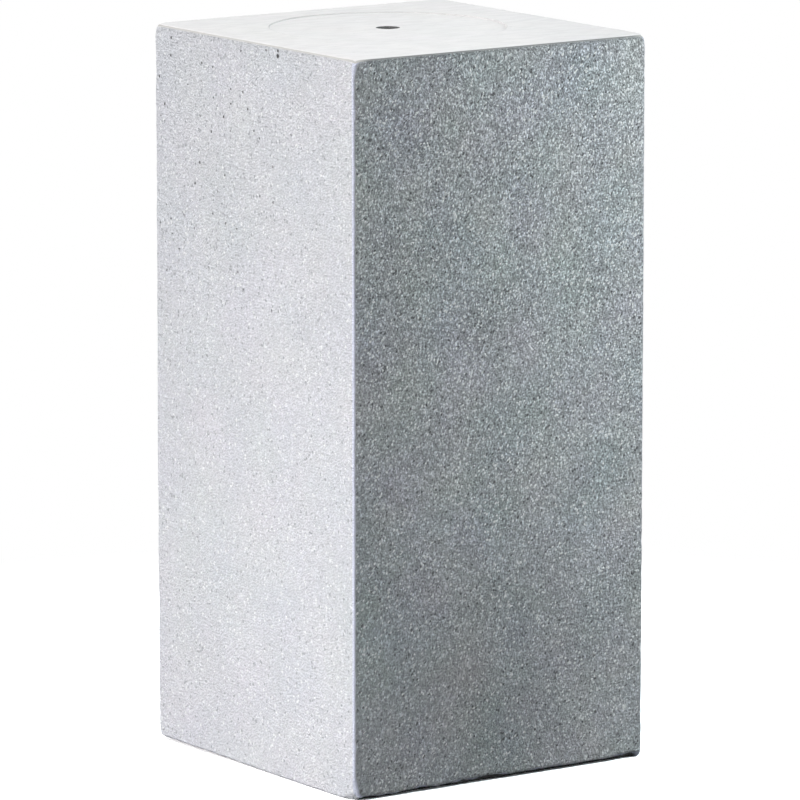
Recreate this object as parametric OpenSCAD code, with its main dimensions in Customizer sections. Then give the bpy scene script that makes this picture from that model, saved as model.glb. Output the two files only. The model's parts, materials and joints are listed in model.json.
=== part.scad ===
// Base block for a column: one solid upright block of stone, square in plan.
// Its top carries a shallow round seat, and a dowel socket is drilled down the seat's axis.
// Millimetres. +Z is up, and the origin is the middle of the underside.

/* [Block] */
// Width of the block, along X
block_w = 300; // [260:5:450]
// Depth of the block, along Y
block_d = 300; // [260:5:450]
// Height of the block
block_h = 625; // [300:5:900]
// Radius of the eased arrises, the same on every edge
arris_r = 2; // [1:0.5:5]

/* [Seat and socket axis] */
// Place of the upright axis that the seat and the socket share, from the middle along X
axis_x = -16; // [-20:1:20]
// Place of the same axis from the middle of the block, along Y
axis_y = 0; // [-20:1:20]

/* [Seat] */
// Diameter of the round seat sunk in the top
seat_dia = 202; // [60:2:210]
// How far the seat's floor lies below the top
seat_depth = 1; // [0.5:0.5:5]

/* [Dowel socket] */
// Diameter of the drilled socket
socket_dia = 19; // [8:0.5:40]
// Depth of the socket below the seat's floor
socket_depth = 100; // [20:5:200]

/* [Hidden] */
$fn = 96;
// Colour of the stone
stone_colour = [0.76, 0.77, 0.79];
// Height of the seat's floor above the underside
seat_floor_z = block_h - seat_depth;
// How far a cutting shape runs past the surface that it opens
cut_over = 1;

// A rectangle about the origin with its four corners rounded to the arris radius
module eased_rectangle(length, width) {
    square([length - 2 * arris_r, width], center = true);
    square([length, width - 2 * arris_r], center = true);
    for (side_x = [-1, 1], side_y = [-1, 1])
        translate([side_x * (length / 2 - arris_r), side_y * (width / 2 - arris_r)])
            circle(r = arris_r);
}

// The plain block: three eased bars, one along each axis, crossed so that every arris is round
module eased_block() {
    translate([0, 0, block_h / 2])
        intersection() {
            linear_extrude(height = block_h, center = true)
                eased_rectangle(block_w, block_d);
            rotate([90, 0, 0])
                linear_extrude(height = block_d, center = true)
                    eased_rectangle(block_w, block_h);
            rotate([90, 0, 90])
                linear_extrude(height = block_w, center = true)
                    eased_rectangle(block_d, block_h);
        }
}

// The shallow round seat, as the stone taken away
module seat_cut() {
    translate([axis_x, axis_y, seat_floor_z])
        cylinder(d = seat_dia, h = seat_depth + cut_over);
}

// The blind dowel socket, as the stone taken away, open into the seat
module socket_cut() {
    translate([axis_x, axis_y, seat_floor_z - socket_depth])
        cylinder(d = socket_dia, h = socket_depth + cut_over);
}

// The finished block
module block() {
    color(stone_colour)
        difference() {
            eased_block();
            seat_cut();
            socket_cut();
        }
}

block();
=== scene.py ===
import json
import math

import bmesh
import bpy
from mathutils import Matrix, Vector


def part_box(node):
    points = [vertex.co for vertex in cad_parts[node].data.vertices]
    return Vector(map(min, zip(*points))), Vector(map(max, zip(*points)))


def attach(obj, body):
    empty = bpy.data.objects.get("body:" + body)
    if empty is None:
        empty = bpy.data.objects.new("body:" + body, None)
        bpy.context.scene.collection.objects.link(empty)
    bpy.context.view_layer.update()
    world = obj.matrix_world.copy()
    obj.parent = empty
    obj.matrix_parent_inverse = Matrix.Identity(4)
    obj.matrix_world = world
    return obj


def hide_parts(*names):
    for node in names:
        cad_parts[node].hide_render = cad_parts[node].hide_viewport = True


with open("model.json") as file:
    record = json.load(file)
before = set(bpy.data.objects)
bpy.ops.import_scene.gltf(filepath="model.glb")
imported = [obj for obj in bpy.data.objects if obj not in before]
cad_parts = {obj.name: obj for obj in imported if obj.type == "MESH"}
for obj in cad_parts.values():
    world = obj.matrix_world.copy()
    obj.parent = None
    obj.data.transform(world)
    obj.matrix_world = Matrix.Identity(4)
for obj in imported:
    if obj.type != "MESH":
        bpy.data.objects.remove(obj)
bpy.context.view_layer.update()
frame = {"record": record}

# ----------------------------------------------------------------------------------------
# The block's form
# One upright piece of light grey granite, sawn square, with its arrises eased by a rubbing
# stone. The seat is turned a millimetre into the top, and a core drill has taken the blind
# dowel socket down the seat's own axis.
# ----------------------------------------------------------------------------------------
low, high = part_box("block")
middle = (low + high) / 2
mounts = {mount["name"]: mount for mount in frame["record"]["mounts"]}
socket_axis = Vector(mounts["dowel_socket"]["pos_m"][:2])
socket_radius = mounts["dowel_socket"]["dims"]["r_mm"] / 1000
socket_length = mounts["dowel_socket"]["dims"]["length_mm"] / 1000
seat_floor = mounts["column_seat"]["pos_m"][2]
seat_radius = 0.101
arris_radius = 0.002
seat_lip = 0.0003
socket_lip = 0.0008
straight_x = (high.x - low.x) / 2 - arris_radius
straight_y = (high.y - low.y) / 2 - arris_radius

HAMMERED, HONED, DRILLED, SAWN = range(4)
columns_per_side = 92
courses_up_the_side = 188
steps_round_an_arris = 4
steps_round_the_seat_lip = 2
steps_round_the_socket_lip = 4
crowding_at_the_arrises = 0.45
socket_floor_shares = (0.4, 0.94)
socket_wall_rises = (0.0008, 0.03, 0.06, 0.08)
seat_floor_shares = (0.012, 0.1, 0.25, 0.42, 0.6, 0.76, 0.9, 0.98, 0.995)
top_shares = (1, 0.97, 0.88, 0.74, 0.58, 0.42, 0.26, 0.12, 0.04, 0.012)
underside_shares = (0.01, 0.08, 0.25, 0.45, 0.65, 0.85)


def raised(point, height):
    """A point of the plan, put at a height."""
    return point.to_3d() + Vector((0, 0, height))


def crowded(count):
    """Shares from 0 to 1 that crowd together towards both ends."""
    shares = [step / count for step in range(count + 1)]
    return [
        share - crowding_at_the_arrises * math.sin(2 * math.pi * share) / (2 * math.pi) for share in shares]


def quarter_turn(steps):
    """The angles of a rounded edge's loops, from flat to upright."""
    return [step / steps * math.pi / 2 for step in range(steps + 1)]


def outline(reach):
    """The block's square outline, anticlockwise, with its corners rounded to the given reach."""
    points = []
    along = [2 * share - 1 for share in crowded(columns_per_side)[:-1]]
    for quarter in range(4):
        turn = quarter * math.pi / 2
        ahead, across = (straight_y, straight_x) if quarter % 2 == 0 else (straight_x, straight_y)
        out = Vector((math.cos(turn), math.sin(turn)))
        side = Vector((-out.y, out.x))
        points += [out * (across + reach) + side * (ahead * share) for share in along]
        corner = out * across + side * ahead
        for swing in quarter_turn(steps_round_an_arris)[:-1]:
            points.append(corner + Vector((math.cos(turn + swing), math.sin(turn + swing))) * reach)
    return [point + middle.xy for point in points]


def course(reach, height):
    """One loop round the outside of the block."""
    return [raised(point, height) for point in outline(reach)]


flat_edge = outline(0)
bearings = [(point - socket_axis).normalized() for point in flat_edge]


def turned(radius, height):
    """One round loop about the socket's axis."""
    return [raised(socket_axis + bearing * radius, height) for bearing in bearings]


def across_the_top(share):
    """A loop on the top, from the outer edge at share 0 to the seat's edge at share 1."""
    rim = turned(seat_radius + 4 * seat_lip, high.z)
    return [raised(edge, high.z).lerp(inner, share) for edge, inner in zip(flat_edge, rim)]


def under_the_base(share):
    """A loop on the underside, from its outer edge at share 0 to its middle at share 1."""
    hub = raised(middle.xy, low.z)
    return [raised(edge, low.z).lerp(hub, share) for edge in flat_edge]


loops = []
socket_floor = seat_floor - socket_length
loops += [(turned(socket_radius * share, socket_floor), DRILLED) for share in socket_floor_shares]
loops += [(turned(socket_radius, socket_floor + rise), DRILLED) for rise in socket_wall_rises]
for swing in quarter_turn(steps_round_the_socket_lip):
    lip_radius = socket_radius + socket_lip * (1 - math.cos(swing))
    loops.append((turned(lip_radius, seat_floor - socket_lip * (1 - math.sin(swing))), DRILLED))
seat_span = seat_radius - seat_lip - socket_radius - socket_lip
for share in seat_floor_shares:
    loops.append((turned(socket_radius + socket_lip + seat_span * share, seat_floor), HONED))
loops.append((turned(seat_radius, seat_floor + seat_lip), HONED))
for swing in quarter_turn(steps_round_the_seat_lip):
    lip_radius = seat_radius + seat_lip * (1 - math.cos(swing))
    loops.append((turned(lip_radius, high.z - seat_lip * (1 - math.sin(swing))), HONED))
loops += [(across_the_top(share), HONED) for share in top_shares]
for swing in reversed(quarter_turn(steps_round_an_arris)):
    height = high.z - arris_radius * (1 - math.sin(swing))
    loops.append((course(arris_radius * math.cos(swing), height), HONED))
side_span = high.z - low.z - 2 * arris_radius
for share in crowded(courses_up_the_side)[1:]:
    loops.append((course(arris_radius, high.z - arris_radius - side_span * share), HAMMERED))
for swing in quarter_turn(steps_round_an_arris)[1:]:
    height = low.z + arris_radius * (1 - math.sin(swing))
    loops.append((course(arris_radius * math.cos(swing), height), HAMMERED))
loops += [(under_the_base(share), SAWN) for share in underside_shares]

form = bmesh.new()
finish_of = form.faces.layers.int.new("finish")
rows = [[form.verts.new(point) for point in points] for points, finish in loops]
finishes = [finish for points, finish in loops]
count = len(flat_edge)
for inner, outer, finish in zip(rows, rows[1:], finishes[1:]):
    for here in range(count):
        after = (here + 1) % count
        face = form.faces.new((inner[here], outer[here], outer[after], inner[after]))
        face[finish_of] = finish
socket_pole = form.verts.new(raised(socket_axis, socket_floor))
underside_pole = form.verts.new(raised(middle.xy, low.z))
for here in range(count):
    after = (here + 1) % count
    face = form.faces.new((socket_pole, rows[0][here], rows[0][after]))
    face[finish_of] = DRILLED
    face = form.faces.new((underside_pole, rows[-1][after], rows[-1][here]))
    face[finish_of] = SAWN
weld_reach = 1e-6
bmesh.ops.remove_doubles(form, verts=form.verts, dist=weld_reach)
for face in form.faces:
    face.smooth = True
block_mesh = bpy.data.meshes.new("granite_block")
form.to_mesh(block_mesh)
form.free()
block = bpy.data.objects.new("granite_block", block_mesh)
bpy.context.scene.collection.objects.link(block)


# ----------------------------------------------------------------------------------------
# The hammered sides and the wear, as relief
# The mason works the four sides over with a fine bush hammer, so they are never quite flat.
# Handling has nicked the arrises, bruised the corners round, broken the foot back along the
# right side and worn it up at the left of the front.
# ----------------------------------------------------------------------------------------
def node(tree, kind, inputs=None, **settings):
    """Adds a node, sets it up, and fills its inputs with values or with other nodes' outputs."""
    made = tree.nodes.new(kind)
    for name, value in settings.items():
        setattr(made, name, value)
    for name, value in (inputs or {}).items():
        if isinstance(value, bpy.types.NodeSocket):
            tree.links.new(value, made.inputs[name])
        else:
            made.inputs[name].default_value = value
    return made


def maths(tree, operation, *values):
    """One step of arithmetic on numbers."""
    return node(tree, "ShaderNodeMath", dict(enumerate(values)), operation=operation).outputs[0]


def product(tree, first, *others):
    """Numbers multiplied together."""
    for other in others:
        first = maths(tree, "MULTIPLY", first, other)
    return first


def vectors(tree, operation, *values):
    """One step of arithmetic on vectors."""
    return node(tree, "ShaderNodeVectorMath", dict(enumerate(values)), operation=operation).outputs[0]


def scaled(tree, vector, factor):
    """A vector times a number."""
    return node(tree, "ShaderNodeVectorMath", {0: vector, "Scale": factor}, operation="SCALE").outputs[0]


def length_of(tree, vector):
    """The length of a vector."""
    return node(tree, "ShaderNodeVectorMath", {0: vector}, operation="LENGTH").outputs["Value"]


def reach_along(tree, vector, direction):
    """How far a vector reaches along a direction."""
    inputs = {0: vector, 1: direction}
    return node(tree, "ShaderNodeVectorMath", inputs, operation="DOT_PRODUCT").outputs["Value"]


def ramped(tree, value, start, end, first=0.0, last=1.0):
    """A value eased from a first result to a last one as it passes from start to end."""
    inputs = {"Value": value, "From Min": start, "From Max": end, "To Min": first, "To Max": last}
    return node(tree, "ShaderNodeMapRange", inputs, interpolation_type="SMOOTHSTEP").outputs["Result"]


def fading(tree, distance, reach):
    """A share that is 1 where a distance is nothing and eases to 0 at its reach."""
    return ramped(tree, distance, 0.0, reach, 1.0, 0.0)


def new_tree(name, kind, inputs, outputs):
    """An empty node group with named sockets, and its input and output nodes."""
    tree = bpy.data.node_groups.new(name, kind)
    for title, value_type, value in inputs:
        socket = tree.interface.new_socket(
            name=title, in_out="INPUT", socket_type="NodeSocket" + value_type)
        if value is not None:
            socket.default_value = value
    for title, value_type in outputs:
        tree.interface.new_socket(name=title, in_out="OUTPUT", socket_type="NodeSocket" + value_type)
    return tree, node(tree, "NodeGroupInput").outputs, node(tree, "NodeGroupOutput").inputs


# A bruised corner: the arris rounding swells towards the corner, and whatever lies outside the
# swollen rounding is drawn in to it.
bruise, given, result = new_tree("bruised_corner", "GeometryNodeTree", [
    ("Geometry", "Geometry", None), ("Corner", "Vector", None), ("Outward", "Vector", None),
    ("Arris radius", "Float", 0.0), ("Bruise radius", "Float", 0.0)], [("Geometry", "Geometry")])
spread_of_a_bruise = 3.0
place = node(bruise, "GeometryNodeInputPosition").outputs[0]
to_corner = vectors(bruise, "SUBTRACT", given["Corner"], place)
inset = vectors(bruise, "MULTIPLY", to_corner, given["Outward"])
bruise_reach = product(bruise, given["Bruise radius"], spread_of_a_bruise)
swell = fading(bruise, length_of(bruise, inset), bruise_reach)
extra = product(bruise, maths(bruise, "SUBTRACT", given["Bruise radius"], given["Arris radius"]), swell)
rounding = maths(bruise, "ADD", given["Arris radius"], extra)
rounding_each_way = node(bruise, "ShaderNodeCombineXYZ", {0: rounding, 1: rounding, 2: rounding}).outputs[0]
beyond_centre = vectors(bruise, "SUBTRACT", rounding_each_way, inset)
past_centre = vectors(bruise, "MAXIMUM", beyond_centre, (0.0, 0.0, 0.0))
kept = maths(bruise, "DIVIDE", rounding, length_of(bruise, past_centre))
lost = maths(bruise, "MAXIMUM", 0.0, maths(bruise, "SUBTRACT", 1.0, kept))
past_outward = vectors(bruise, "MULTIPLY", past_centre, given["Outward"])
drawn_in = scaled(bruise, past_outward, product(bruise, lost, -1.0))
rounded = node(bruise, "GeometryNodeSetPosition", {
    "Geometry": given["Geometry"], "Offset": drawn_in}).outputs[0]
bruise.links.new(rounded, result["Geometry"])

FINISH_NAMES = ("Hammered stone", "Honed stone", "Drilled stone", "Sawn stone")
BRUISED_CORNERS = {
    "Left foot": (-1, -1, -1), "Left head": (-1, -1, 1), "Right head": (1, 1, 1),
    "Front head": (1, -1, 1), "Front foot": (1, -1, -1), "Right foot": (1, 1, -1)}
relief_inputs = [("Geometry", "Geometry", None)]
relief_inputs += [(title, "Float", 0.0) for title in (
    "Wave depth", "Wave size", "Dent depth", "Dent size", "Arris radius", "Arris width",
    "Nick depth", "Nick size", "Wear depth", "Wear size", "Wear width",
    "Foot height", "Foot depth", "Foot size", "Foot taper",
    "Lift height", "Lift length", "Lift depth", "Seed")]
relief_inputs += [(title + " bruise", "Float", 0.0) for title in BRUISED_CORNERS]
relief_inputs += [(title, "Material", None) for title in FINISH_NAMES]
relief, given, result = new_tree(
    "hammered_relief", "GeometryNodeTree", relief_inputs, [("Geometry", "Geometry")])
relief.is_modifier = True

place = node(relief, "GeometryNodeInputPosition").outputs[0]
facing = node(relief, "GeometryNodeInputNormal").outputs[0]
extent = node(relief, "GeometryNodeBoundBox", {"Geometry": given["Geometry"]}).outputs
past_low_corner = vectors(relief, "SUBTRACT", place, extent["Min"])
short_of_high_corner = vectors(relief, "SUBTRACT", extent["Max"], place)
from_low = node(relief, "ShaderNodeSeparateXYZ", {0: past_low_corner}).outputs
from_high = node(relief, "ShaderNodeSeparateXYZ", {0: short_of_high_corner}).outputs
inset_x, inset_y, inset_z = (
    maths(relief, "MINIMUM", from_low[axis], from_high[axis]) for axis in range(3))
nearer = maths(relief, "MINIMUM", inset_x, inset_y)
farther = maths(relief, "MAXIMUM", inset_x, inset_y)
from_arris = maths(relief, "MAXIMUM", nearer, maths(relief, "MINIMUM", farther, inset_z))
at_arris = fading(relief, from_arris, given["Arris width"])
from_left_arris = maths(relief, "MAXIMUM", from_low[0], from_low[1])
at_left_arris = fading(relief, from_left_arris, given["Wear width"])


def noise_of_size(size, seed_shift, detail):
    """Soft noise from 0 to 1 whose bumps are about the given size."""
    inputs = {
        "Vector": place, "W": maths(relief, "ADD", given["Seed"], seed_shift),
        "Scale": maths(relief, "DIVIDE", 1.0, size), "Detail": detail}
    return node(relief, "ShaderNodeTexNoise", inputs, noise_dimensions="4D").outputs[0]


wave = product(relief, noise_of_size(given["Wave size"], seed_shift=0.0, detail=1.0), given["Wave depth"])
dent = product(relief, noise_of_size(given["Dent size"], seed_shift=7.0, detail=2.0), given["Dent depth"])
nick_noise = noise_of_size(given["Nick size"], seed_shift=13.0, detail=2.0)
nicked_here = ramped(relief, nick_noise, 0.45, 0.8)
nick = product(relief, nicked_here, at_arris, given["Nick depth"])
wear_noise = noise_of_size(given["Wear size"], seed_shift=19.0, detail=1.0)
worn_here = ramped(relief, wear_noise, 0.35, 0.7)
wear = product(relief, worn_here, at_left_arris, given["Wear depth"])
finish = node(relief, "GeometryNodeInputNamedAttribute", {"Name": "finish"}, data_type="INT").outputs[0]


def finish_is(kind):
    """True on the faces that have this finish."""
    inputs = {2: finish, 3: kind}
    return node(relief, "FunctionNodeCompare", inputs, data_type="INT", operation="EQUAL").outputs[0]


worked = product(relief, maths(relief, "ADD", wave, dent), finish_is(HAMMERED))
removed = maths(relief, "ADD", worked, maths(relief, "ADD", nick, wear))
inward = scaled(relief, facing, product(relief, removed, -1.0))

ragged = ramped(relief, noise_of_size(given["Foot size"], seed_shift=37.0, detail=2.0), 0.3, 0.7, 0.5, 1.3)
break_top = product(relief, given["Foot height"], ragged)
below_break = ramped(relief, from_low[2], break_top, product(relief, break_top, 0.6))
by_right_side = fading(relief, from_high[0], product(relief, given["Foot depth"], 4.0))
clear_of_ends = ramped(relief, inset_y, 0.0, given["Foot taper"])
break_noise = noise_of_size(given["Foot size"], seed_shift=29.0, detail=2.0)
break_share = ramped(relief, break_noise, 0.2, 0.7, 0.5, 1.0)
broken = product(relief, below_break, by_right_side, clear_of_ends)
broken_back = product(relief, broken, break_share, given["Foot depth"], -1.0)

lift_band = product(relief, given["Lift height"], 3.0)
lift_share = product(
    relief, fading(relief, from_low[2], lift_band), fading(relief, from_low[1], given["Lift depth"]),
    fading(relief, from_low[0], given["Lift length"]))
lifted = product(relief, lift_share, given["Lift height"])
foot_wear = node(relief, "ShaderNodeCombineXYZ", {0: broken_back, 2: lifted}).outputs[0]

shown = given["Geometry"]
for title, value in (("arris", at_arris), ("foot", broken)):
    shown = node(relief, "GeometryNodeStoreNamedAttribute", {
        "Geometry": shown, "Name": title, "Value": value}, data_type="FLOAT", domain="POINT").outputs[0]
shown = node(relief, "GeometryNodeSetPosition", {
    "Geometry": shown, "Offset": vectors(relief, "ADD", inward, foot_wear)}).outputs[0]
for title, outward in BRUISED_CORNERS.items():
    at_high = vectors(relief, "MULTIPLY", extent["Max"], tuple(float(side > 0) for side in outward))
    at_low = vectors(relief, "MULTIPLY", extent["Min"], tuple(float(side < 0) for side in outward))
    bruised = node(relief, "GeometryNodeGroup", node_tree=bruise)
    links = {
        "Geometry": shown, "Corner": vectors(relief, "ADD", at_high, at_low),
        "Arris radius": given["Arris radius"], "Bruise radius": given[title + " bruise"]}
    for name, value in links.items():
        relief.links.new(value, bruised.inputs[name])
    bruised.inputs["Outward"].default_value = outward
    shown = bruised.outputs[0]
shown = node(relief, "GeometryNodeRealizeInstances", {"Geometry": shown}).outputs[0]
for kind, title in enumerate(FINISH_NAMES):
    shown = node(relief, "GeometryNodeSetMaterial", {
        "Geometry": shown, "Selection": finish_is(kind), "Material": given[title]}).outputs[0]
relief.links.new(shown, result["Geometry"])


# ----------------------------------------------------------------------------------------
# The stone itself
# Fine-grained light grey granite: pale feldspar and glassy quartz in crystals of a millimetre
# or two, with a few dark flecks of mica. Bush hammering bruises the surface and pocks it,
# honing closes the grain, and the saw and the drill leave their tracks.
# ----------------------------------------------------------------------------------------
crystals, given, result = new_tree("granite_crystals", "ShaderNodeTree", [
    ("Vector", "Vector", None), ("Crystal size", "Float", 0.0015), ("Stone", "Color", None),
    ("Pale", "Color", None), ("Dark", "Color", None), ("Pale share", "Float", 0.1),
    ("Dark share", "Float", 0.08), ("Mottle", "Float", 0.1), ("Cloud", "Float", 0.1),
    ("Stroke", "Vector", None)],
    [("Color", "Color"), ("Height", "Float")])
crystal_weight = 1.1
fines_weight = 1.4
lean_to_pale = 0.6
clouds_per_metre = 16.0
cloud_tint_share = 0.5
per_metre = maths(crystals, "DIVIDE", 1.0, given["Crystal size"])
along_stroke = reach_along(crystals, given["Vector"], given["Stroke"])
drawn_out = vectors(crystals, "SUBTRACT", given["Vector"], scaled(crystals, given["Stroke"], along_stroke))
crystal = node(crystals, "ShaderNodeTexVoronoi", {"Vector": drawn_out, "Scale": per_metre}).outputs
chance = node(crystals, "ShaderNodeSeparateColor", {0: crystal["Color"]}).outputs
core = ramped(crystals, crystal["Distance"], 0.9, 0.4)
cloud = node(crystals, "ShaderNodeTexNoise", {
    "Vector": given["Vector"], "Scale": clouds_per_metre, "Detail": 3.0}).outputs
fines = node(crystals, "ShaderNodeTexNoise", {
    "Vector": drawn_out, "Scale": per_metre, "Detail": 0.0}).outputs[0]
from_crystals = product(crystals, maths(crystals, "SUBTRACT", chance[2], 0.5), core, crystal_weight)
from_fines = product(crystals, maths(crystals, "SUBTRACT", fines, 0.5), fines_weight)
even_height = maths(crystals, "ADD", from_crystals, from_fines)
height = maths(crystals, "ADD", even_height, product(crystals, even_height, even_height, lean_to_pale))
mottled = product(crystals, height, given["Mottle"])
clouded = product(crystals, maths(crystals, "SUBTRACT", cloud[0], 0.5), given["Cloud"])
level = maths(crystals, "ADD", 1.0, maths(crystals, "ADD", mottled, clouded))
cloud_tint = vectors(crystals, "SUBTRACT", cloud[1], (0.5, 0.5, 0.5))
cloud_tint = scaled(crystals, cloud_tint, product(crystals, given["Cloud"], cloud_tint_share))
tint = vectors(crystals, "ADD", cloud_tint, (1.0, 1.0, 1.0))
body = scaled(crystals, vectors(crystals, "MULTIPLY", given["Stone"], tint), level)
for kind, lot in (("Pale", chance[0]), ("Dark", chance[1])):
    chosen = maths(crystals, "LESS_THAN", lot, given[kind + " share"])
    body = node(crystals, "ShaderNodeMix", {
        0: product(crystals, chosen, core), 6: body, 7: given[kind]}, data_type="RGBA").outputs[2]
crystals.links.new(body, result["Color"])
crystals.links.new(height, result["Height"])

marks, given, result = new_tree("hammer_marks", "ShaderNodeTree", [
    ("Vector", "Vector", None), ("Mark size", "Float", 0.002), ("Pit spacing", "Float", 0.012),
    ("Pit radius", "Float", 0.0012), ("Pit share", "Float", 0.3)],
    [("Height", "Float"), ("Pit", "Float")])
straying = 0.003
strays_per_metre = 400.0
pit_depth_in_marks = 0.7
grit = node(marks, "ShaderNodeTexNoise", {
    "Vector": given["Vector"], "Scale": maths(marks, "DIVIDE", 1.0, given["Mark size"]),
    "Detail": 1.0, "Roughness": 0.5}).outputs[0]
wander = node(marks, "ShaderNodeTexNoise", {
    "Vector": given["Vector"], "Scale": strays_per_metre}).outputs[1]
stray = scaled(marks, vectors(marks, "SUBTRACT", wander, (0.5, 0.5, 0.5)), straying)
strayed = vectors(marks, "ADD", given["Vector"], stray)
pit_cell = node(marks, "ShaderNodeTexVoronoi", {
    "Vector": strayed, "Scale": maths(marks, "DIVIDE", 1.0, given["Pit spacing"])}).outputs
pit_chance = node(marks, "ShaderNodeSeparateColor", {0: pit_cell["Color"]}).outputs
pit_reach = maths(marks, "DIVIDE", given["Pit radius"], given["Pit spacing"])
pit_size = product(marks, pit_reach, maths(marks, "ADD", 0.5, pit_chance[1]))
in_pit = ramped(marks, pit_cell["Distance"], pit_size, product(marks, pit_size, 0.5))
pit = product(marks, in_pit, maths(marks, "LESS_THAN", pit_chance[0], given["Pit share"]))
pitted = maths(marks, "SUBTRACT", grit, product(marks, pit, pit_depth_in_marks))
marks.links.new(pitted, result["Height"])
marks.links.new(pit, result["Pit"])

tracks, given, result = new_tree("tool_tracks", "ShaderNodeTree", [
    ("Vector", "Vector", None), ("Spacing", "Float", 0.003), ("Run", "Vector", None)],
    [("Height", "Float")])
stretched = vectors(tracks, "MULTIPLY", given["Vector"], given["Run"])
track = node(tracks, "ShaderNodeTexNoise", {
    "Vector": stretched, "Scale": maths(tracks, "DIVIDE", 1.0, given["Spacing"]), "Detail": 2.0}).outputs[0]
tracks.links.new(track, result["Height"])


def stone_material(name, roughness):
    """A new stone material, with its shader and the place on the block that its patterns follow."""
    material = bpy.data.materials.new(name)
    material.use_nodes = True
    tree = material.node_tree
    tree.nodes.clear()
    shader = node(tree, "ShaderNodeBsdfPrincipled", {"Roughness": roughness})
    node(tree, "ShaderNodeOutputMaterial", {"Surface": shader.outputs[0]})
    coordinates = node(tree, "ShaderNodeTexCoord").outputs["Object"]
    centred = node(tree, "ShaderNodeMapping", {"Vector": coordinates, "Location": -middle}).outputs[0]
    return material, tree, shader.inputs, centred


def group(tree, node_tree, spot, **values):
    """One of the shared effects, placed in a material with its own values."""
    placed = node(tree, "ShaderNodeGroup", node_tree=node_tree)
    tree.links.new(spot, placed.inputs["Vector"])
    for title, value in values.items():
        socket = placed.inputs[title.replace("_", " ")]
        if isinstance(value, bpy.types.NodeSocket):
            tree.links.new(value, socket)
        else:
            socket.default_value = value
    return placed.outputs


def blended(tree, share, first, second):
    """One colour laid over another by a share."""
    return node(tree, "ShaderNodeMix", {0: share, 6: first, 7: second}, data_type="RGBA").outputs[2]


def mark_at(tree, spot, place, reach):
    """A single round mark in the stone, as a share that is 1 at its middle."""
    apart = vectors(tree, "SUBTRACT", spot, tuple(Vector(place) - middle))
    return ramped(tree, length_of(tree, apart), reach, reach * 0.5)


def finished_by(tree, shader, surface, height, depth):
    """Gives a stone its colour, and its fine surface as a bump of the given depth."""
    tree.links.new(surface, shader["Base Color"])
    bump = node(tree, "ShaderNodeBump", {"Strength": 1.0, "Distance": depth, "Height": height})
    tree.links.new(bump.outputs[0], shader["Normal"])


def right_side_share(tree, across):
    """A share that is 0 on the front side and 1 on the right side, changing round their arris."""
    return ramped(tree, across, straight_x, straight_x + arris_radius)


# Hammered stone: lit and shaded copies of one stone, the right side's darker colours being painted shade.
FRONT_STONE, RIGHT_STONE_IN_PAINTED_SHADE = (0.665, 0.673, 0.71, 1), (0.455, 0.469, 0.484, 1)
FRONT_PALE, RIGHT_PALE_PAINTED_HIGHLIGHT = (0.85, 0.86, 0.88, 1), (1.0, 1.0, 1.0, 1)
FRONT_DARK, RIGHT_DARK_PAINTED_SHADE = (0.455, 0.465, 0.495, 1), (0.09, 0.09, 0.09, 1)
FRONT_ARRIS_PAINTED_SHADE, RIGHT_ARRIS_PAINTED_SHADE = (0.46, 0.45, 0.43, 1), (0.16, 0.16, 0.16, 1)
PIT_PAINTED_SHADE = (0.13, 0.13, 0.13, 1)
DEEP_PIT_PAINTED_SHADE = (0.05, 0.05, 0.05, 1)
FLECK_WHITE = (1.0, 1.0, 1.0, 1)
ARRIS_PAINTED_HIGHLIGHT = (0.76, 0.79, 0.93, 1)
BROKEN_FOOT_PAINTED_SHADOW = (0.012, 0.012, 0.012, 1)
half_height = (high.z - low.z) / 2
hammered, tree, shader, spot = stone_material("hammered_granite", 0.85)
across, along, up = node(tree, "ShaderNodeSeparateXYZ", {0: spot}).outputs
painted_shade_side = right_side_share(tree, across)


def front_to_right(front_value, right_value):
    """A value that differs between the front side and the right side."""
    return ramped(tree, painted_shade_side, 0.0, 1.0, front_value, right_value)


# Painted light: front side lighter low down and to the right; right side darker low down and to the front.
paler_to_the_right = ramped(tree, across, -0.15, 0.15, 0.985, 1.045)
darker_upwards = ramped(tree, up, -0.31, 0.31, 1.05, 0.975)
front_painted_light = product(tree, paler_to_the_right, darker_upwards)
paler_to_the_back = ramped(tree, along, -0.15, 0.15, 0.92, 1.15)
darker_downwards = ramped(tree, up, -0.32, 0.05, 0.88, 1.0)
# A patch of painted shade low in the middle of the right side.
painted_shade_patch_drop = 0.23
from_painted_shade_patch = node(tree, "ShaderNodeCombineXYZ", {0: along, 1: maths(tree, "ADD", up, painted_shade_patch_drop)}).outputs[0]
painted_shade_patch = ramped(tree, length_of(tree, from_painted_shade_patch), 0.02, 0.15, 0.80, 1.0)
right_painted_light = product(tree, paler_to_the_back, darker_downwards, painted_shade_patch)
sides_painted_light = node(tree, "ShaderNodeMix", {0: painted_shade_side, 2: front_painted_light, 3: right_painted_light}).outputs[0]
pitted_zone = product(
    tree, ramped(tree, up, -0.1, 0.25), ramped(tree, across, 0.15, -0.05), ramped(tree, along, 0.0, -0.14))
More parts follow.
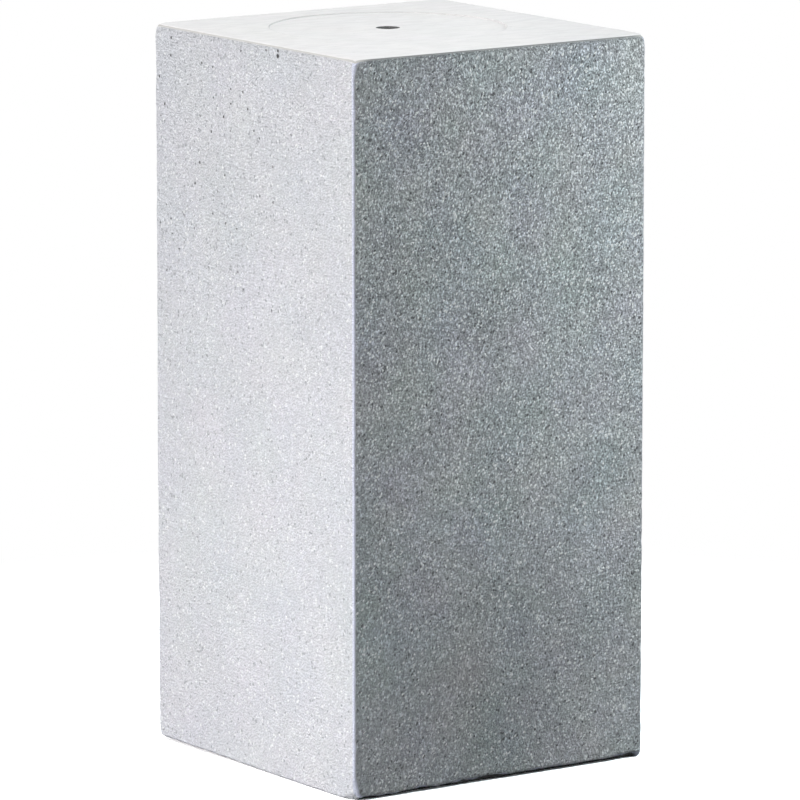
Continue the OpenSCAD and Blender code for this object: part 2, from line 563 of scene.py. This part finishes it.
# The right side's stronger speckle, clouding and flecks are painted highlights and shade of the relief.
mottle = product(tree, front_to_right(0.21, 1.04), ramped(tree, up, -0.3, 0.2, 0.76, 1.0))
grain = group(
    tree, crystals, spot, Crystal_size=front_to_right(0.0022, 0.0017),
    Pale_share=front_to_right(0.05, 0.08),
    Dark_share=ramped(tree, pitted_zone, 0.0, 1.0, 0.03, 0.065),
    Stone=blended(tree, painted_shade_side, FRONT_STONE, RIGHT_STONE_IN_PAINTED_SHADE),
    Pale=blended(tree, painted_shade_side, FRONT_PALE, RIGHT_PALE_PAINTED_HIGHLIGHT),
    Dark=blended(tree, painted_shade_side, FRONT_DARK, RIGHT_DARK_PAINTED_SHADE),
    Mottle=mottle, Cloud=front_to_right(0.12, 0.32), Stroke=(0.0, 0.37, 0.37))
texture = group(
    tree, marks, spot, Mark_size=0.0018, Pit_spacing=0.009, Pit_radius=0.0017, Pit_share=0.45)
surface = scaled(tree, grain["Color"], sides_painted_light)
# The pits are painted dark as the shade that lies in them.
surface = blended(tree, product(tree, texture["Pit"], pitted_zone), surface, PIT_PAINTED_SHADE)
# Two pits painted black as their shade, and a white fleck.
for place, reach, tone in (
        ((0.0378, low.y, 0.6163), 0.0026, DEEP_PIT_PAINTED_SHADE),
        ((0.0380, low.y, 0.6205), 0.0018, DEEP_PIT_PAINTED_SHADE),
        ((high.x, 0.1308, 0.0465), 0.0030, FLECK_WHITE)):
    surface = blended(tree, mark_at(tree, spot, place, reach), surface, tone)
# A painted highlight along the front upright arris, pale and bluish.
arris_highlight_strip = product(
    tree, ramped(tree, across, straight_x - 0.0026, straight_x - 0.0012),
    ramped(tree, across, straight_x + 0.0015, straight_x + 0.0010))
surface = blended(tree, arris_highlight_strip, surface, ARRIS_PAINTED_HIGHLIGHT)
# Painted shade in the arris just below the top, darkest on the right side.
arris_painted_shade = blended(tree, painted_shade_side, FRONT_ARRIS_PAINTED_SHADE, RIGHT_ARRIS_PAINTED_SHADE)
under_the_arris = ramped(tree, up, half_height - 0.0035, half_height - 0.001, 0.0, 0.7)
surface = blended(tree, under_the_arris, surface, arris_painted_shade)
# The broken foot is painted near black as the shadow in its undercut.
foot = node(tree, "ShaderNodeAttribute", attribute_name="foot").outputs["Fac"]
surface = blended(tree, ramped(tree, foot, 0.1, 0.6), surface, BROKEN_FOOT_PAINTED_SHADOW)
grain_height_share = 0.2
worked_height = maths(tree, "ADD", texture["Height"], product(tree, grain["Height"], grain_height_share))
finished_by(tree, shader, surface, worked_height, depth=0.0018)

# Honed stone: closed and even, rubbed in long strokes, with painted shade in the arris and the seat's step.
HONED_STONE = (0.853, 0.838, 0.843, 1)
HONED_PALE = (0.88, 0.87, 0.87, 1)
HONED_DARK = (0.79, 0.78, 0.78, 1)
FRONT_EDGE_PAINTED_SHADE, RIGHT_EDGE_PAINTED_SHADE = (0.52, 0.51, 0.495, 1), (0.20, 0.20, 0.20, 1)
SCUFF_GREY = (0.45, 0.44, 0.43, 1)
STEP_PAINTED_SHADE = (0.32, 0.31, 0.30, 1)
TO_THE_RIGHT = (0.575, 0.818, 0.0)
honed, tree, shader, spot = stone_material("honed_granite", 0.6)
grain = group(
    tree, crystals, spot, Crystal_size=0.0020, Stone=HONED_STONE, Pale=HONED_PALE, Dark=HONED_DARK,
    Pale_share=0.05, Dark_share=0.02, Mottle=0.012, Cloud=0.06)
rubbing = group(tree, tracks, spot, Spacing=0.008, Run=(1.0, 0.3, 1.0))
surface = scaled(tree, grain["Color"], ramped(tree, rubbing["Height"], 0.3, 0.7, 0.95, 1.03))
arris = node(tree, "ShaderNodeAttribute", attribute_name="arris").outputs["Fac"]
across, _, up = node(tree, "ShaderNodeSeparateXYZ", {0: spot}).outputs
# Painted shade in the arris just below the top.
edge_painted_shade = blended(tree, right_side_share(tree, across), FRONT_EDGE_PAINTED_SHADE, RIGHT_EDGE_PAINTED_SHADE)
below_top = ramped(tree, up, half_height - 0.0004, half_height - 0.0010)
surface = blended(tree, product(tree, ramped(tree, arris, 0.0, 0.4), below_top), surface, edge_painted_shade)
to_the_right = reach_along(tree, spot, TO_THE_RIGHT)
surface = scaled(tree, surface, ramped(tree, to_the_right, 0.04, 0.21, 1.0, 0.88))
scuff_squeeze = (1.0, 0.25, 1.0)
scuff_place = (0.0704, -0.0108, high.z)
scuff = mark_at(tree, vectors(tree, "MULTIPLY", spot, scuff_squeeze), scuff_place, 0.003)
surface = blended(tree, product(tree, scuff, 0.35), surface, SCUFF_GREY)
beside_axis = vectors(tree, "SUBTRACT", spot, (socket_axis - middle.xy).to_3d())
from_axis = length_of(tree, vectors(tree, "MULTIPLY", beside_axis, (1.0, 1.0, 0.0)))
off_the_step = maths(tree, "ABSOLUTE", maths(tree, "SUBTRACT", from_axis, seat_radius))
# Painted shade on the seat's step, its strength changing round the seat; it dims the light the step catches
# too.
step_painted_shade = product(
    tree, ramped(tree, off_the_step, 0.0008, 0.0004), ramped(tree, to_the_right, 0.03, -0.04, 0.40, 0.55),
    ramped(tree, to_the_right, -0.11, -0.09, 0.5, 1.0), ramped(tree, to_the_right, 0.035, 0.09, 1.0, 0.6))
surface = blended(tree, step_painted_shade, surface, STEP_PAINTED_SHADE)
finished_by(tree, shader, surface, rubbing["Height"], depth=0.00004)

# Drilled stone: dark grey in the socket as painted shade of the hole, and ringed by the drill.
SOCKET_STONE_IN_PAINTED_SHADE, DRILLED_PALE, DRILLED_DARK = (0.13, 0.13, 0.13, 1), (0.3, 0.3, 0.3, 1), (0.1, 0.1, 0.1, 1)
drilled, tree, shader, spot = stone_material("drilled_granite", 0.8)
grain = group(
    tree, crystals, spot, Crystal_size=0.0020, Stone=SOCKET_STONE_IN_PAINTED_SHADE, Pale=DRILLED_PALE, Dark=DRILLED_DARK,
    Pale_share=0.06, Dark_share=0.05, Mottle=0.3, Cloud=0.1)
rings = group(tree, tracks, spot, Spacing=0.0015, Run=(0.05, 0.05, 1.0))
finished_by(tree, shader, grain["Color"], rings["Height"], depth=0.0003)

# Sawn stone: the plain underside, with the straight tracks of the saw.
SAWN_STONE, SAWN_PALE, SAWN_DARK = (0.55, 0.555, 0.57, 1), (0.75, 0.75, 0.75, 1), (0.3, 0.3, 0.3, 1)
sawn, tree, shader, spot = stone_material("sawn_granite", 0.7)
grain = group(
    tree, crystals, spot, Crystal_size=0.0020, Stone=SAWN_STONE, Pale=SAWN_PALE, Dark=SAWN_DARK,
    Pale_share=0.08, Dark_share=0.05, Mottle=0.15, Cloud=0.1)
kerfs = group(tree, tracks, spot, Spacing=0.005, Run=(1.0, 0.04, 1.0))
finished_by(tree, shader, grain["Color"], kerfs["Height"], depth=0.0004)

finisher = block.modifiers.new("hammered_relief", "NODES")
finisher.node_group = relief
relief_values = {
    "Wave depth": 0.0005, "Wave size": 0.09, "Dent depth": 0.0004, "Dent size": 0.014,
    "Arris radius": arris_radius, "Arris width": 0.0025, "Nick depth": 0.0010, "Nick size": 0.009,
    "Wear depth": 0.0006, "Wear size": 0.045, "Wear width": 0.012,
    "Foot height": 0.0042, "Foot depth": 0.007, "Foot size": 0.030, "Foot taper": 0.012,
    "Lift height": 0.0026, "Lift length": 0.26, "Lift depth": 0.025, "Seed": 3.0,
    "Left foot bruise": 0.007, "Left head bruise": 0.006, "Right head bruise": 0.006,
    "Front head bruise": 0.007, "Front foot bruise": 0.010, "Right foot bruise": 0.005,
    "Hammered stone": hammered, "Honed stone": honed, "Drilled stone": drilled, "Sawn stone": sawn}
for item in relief.interface.items_tree:
    if item.name in relief_values:
        finisher[item.identifier] = relief_values[item.name]
finished = block.evaluated_get(bpy.context.evaluated_depsgraph_get())
finished_mesh = bpy.data.meshes.new_from_object(finished)
block.modifiers.clear()
block.data = finished_mesh

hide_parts("block")
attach(block, "root")

# ----------------------------------------------------------------------------------------
# The studio
# The block stands on a pale floor that runs out of sight. The floor gives little light back,
# and to the camera it is bright enough to leave only the shadow where the stone meets it.
# Five soft boxes light it: three before the front side, and two behind to either side.
# ----------------------------------------------------------------------------------------
floor_reach = 12
unseen_grey = (0.18, 0.18, 0.19, 1)
bright_floor = (3.0, 3.0, 3.0, 1)
white = (1.0, 1.0, 1.0, 1)
room_colour = (0.90, 0.98, 1.0, 1)
room_level = 0.12
shadow_ends, white_starts = 0.45, 0.9


def seen_directly(tree):
    """A share that is 1 for what the camera sees, straight or by a mirror or glass, and 0 for light."""
    ray = node(tree, "ShaderNodeLightPath").outputs
    bent = maths(tree, "ADD", ray["Is Glossy Ray"], ray["Is Transmission Ray"])
    return maths(tree, "ADD", ray["Is Camera Ray"], bent)


floor_mesh = bpy.data.meshes.new("studio_floor")
floor_corners = [
    (x * floor_reach, y * floor_reach, low.z) for x, y in ((-1, -1), (1, -1), (1, 1), (-1, 1))]
floor_mesh.from_pydata(floor_corners, [], [(0, 1, 2, 3)])
floor = bpy.data.objects.new("studio_floor", floor_mesh)
bpy.context.scene.collection.objects.link(floor)
floor_material = bpy.data.materials.new("studio_floor")
floor_material.use_nodes = True
tree = floor_material.node_tree
tree.nodes.clear()
unseen_floor = node(tree, "ShaderNodeBsdfDiffuse", {"Color": unseen_grey}).outputs[0]
shadow_floor = node(tree, "ShaderNodeBsdfDiffuse", {"Color": bright_floor}).outputs[0]
white_floor = node(tree, "ShaderNodeEmission", {"Color": white, "Strength": 1.0}).outputs[0]
distance_out = length_of(tree, node(tree, "ShaderNodeTexCoord").outputs["Object"])
far_out = ramped(tree, distance_out, shadow_ends, white_starts)
seen_floor = node(tree, "ShaderNodeMixShader", {0: far_out, 1: shadow_floor, 2: white_floor}).outputs[0]
floor_surface = node(tree, "ShaderNodeMixShader", {
    0: seen_directly(tree), 1: unseen_floor, 2: seen_floor}).outputs[0]
node(tree, "ShaderNodeOutputMaterial", {"Surface": floor_surface})
floor_mesh.materials.append(floor_material)

world = bpy.data.worlds.new("studio")
bpy.context.scene.world = world
world.use_nodes = True
tree = world.node_tree
tree.nodes.clear()
around = node(tree, "ShaderNodeBackground", {"Color": room_colour, "Strength": room_level}).outputs[0]
behind = node(tree, "ShaderNodeBackground", {"Color": white, "Strength": 1.0}).outputs[0]
sky = node(tree, "ShaderNodeMixShader", {0: seen_directly(tree), 1: around, 2: behind}).outputs[0]
node(tree, "ShaderNodeOutputWorld", {"Surface": sky})


def soft_lamp(name, azimuth, elevation, distance, size, white_level, colour, aim=middle):
    """A square soft box aimed at the block, as bright as makes a facing white surface white_level."""
    lamp = bpy.data.lights.new(name, "AREA")
    lamp.shape = "SQUARE"
    lamp.size = size
    lamp.energy = white_level * math.pi ** 2 * distance ** 2
    lamp.color = colour
    holder = bpy.data.objects.new(name, lamp)
    bpy.context.scene.collection.objects.link(holder)
    turn, rise = math.radians(azimuth), math.radians(elevation)
    away = Vector((math.sin(turn) * math.cos(rise), -math.cos(turn) * math.cos(rise), math.sin(rise)))
    holder.location = aim + away * distance
    holder.rotation_euler = (-away).to_track_quat("-Z", "Y").to_euler()


warm, plain, cool, cooler = (1.0, 0.99, 0.985), (1.0, 0.995, 0.985), (0.93, 0.985, 1.0), (0.89, 0.985, 1.0)
soft_lamp("key", azimuth=10, elevation=15, distance=4.0, size=0.9, white_level=0.442, colour=warm)
soft_lamp("overhead", azimuth=0, elevation=65, distance=3.0, size=0.9, white_level=0.55, colour=plain)
soft_lamp("fill", azimuth=140, elevation=30, distance=1.3, size=0.4, white_level=0.60, colour=cooler)
soft_lamp("back_fill", azimuth=220, elevation=0, distance=2.5, size=0.5, white_level=0.40, colour=cool)
near_the_foot = Vector((middle.x, middle.y, low.z + 0.1))
soft_lamp("low_fill", azimuth=0, elevation=4, distance=0.9, size=0.3, white_level=0.24, colour=warm,
          aim=near_the_foot)

# ----------------------------------------------------------------------------------------
# The camera
# A long lens some way off, a little above the block and turned to see the front and right
# sides, so that the upright arrises stay nearly parallel.
# ----------------------------------------------------------------------------------------
camera_azimuth, camera_elevation = math.radians(54.93), math.radians(10.08)
camera_distance = 6.15
lens_length = 323.2
sensor_width = 36.0
aim_right, aim_down = 0.0011, 0.0078
backward = Vector((
    math.sin(camera_azimuth) * math.cos(camera_elevation),
    -math.cos(camera_azimuth) * math.cos(camera_elevation), math.sin(camera_elevation)))
rightward = Vector((math.cos(camera_azimuth), math.sin(camera_azimuth), 0))
upward = backward.cross(rightward)
camera_data = bpy.data.cameras.new("camera")
camera_data.lens = lens_length
camera_data.sensor_width = sensor_width
camera = bpy.data.objects.new("camera", camera_data)
bpy.context.scene.collection.objects.link(camera)
camera.location = middle + backward * camera_distance + rightward * aim_right - upward * aim_down
camera.rotation_euler = (-backward).to_track_quat("-Z", "Y").to_euler()
bpy.context.scene.camera = camera
bpy.context.scene.view_settings.view_transform = "Standard"
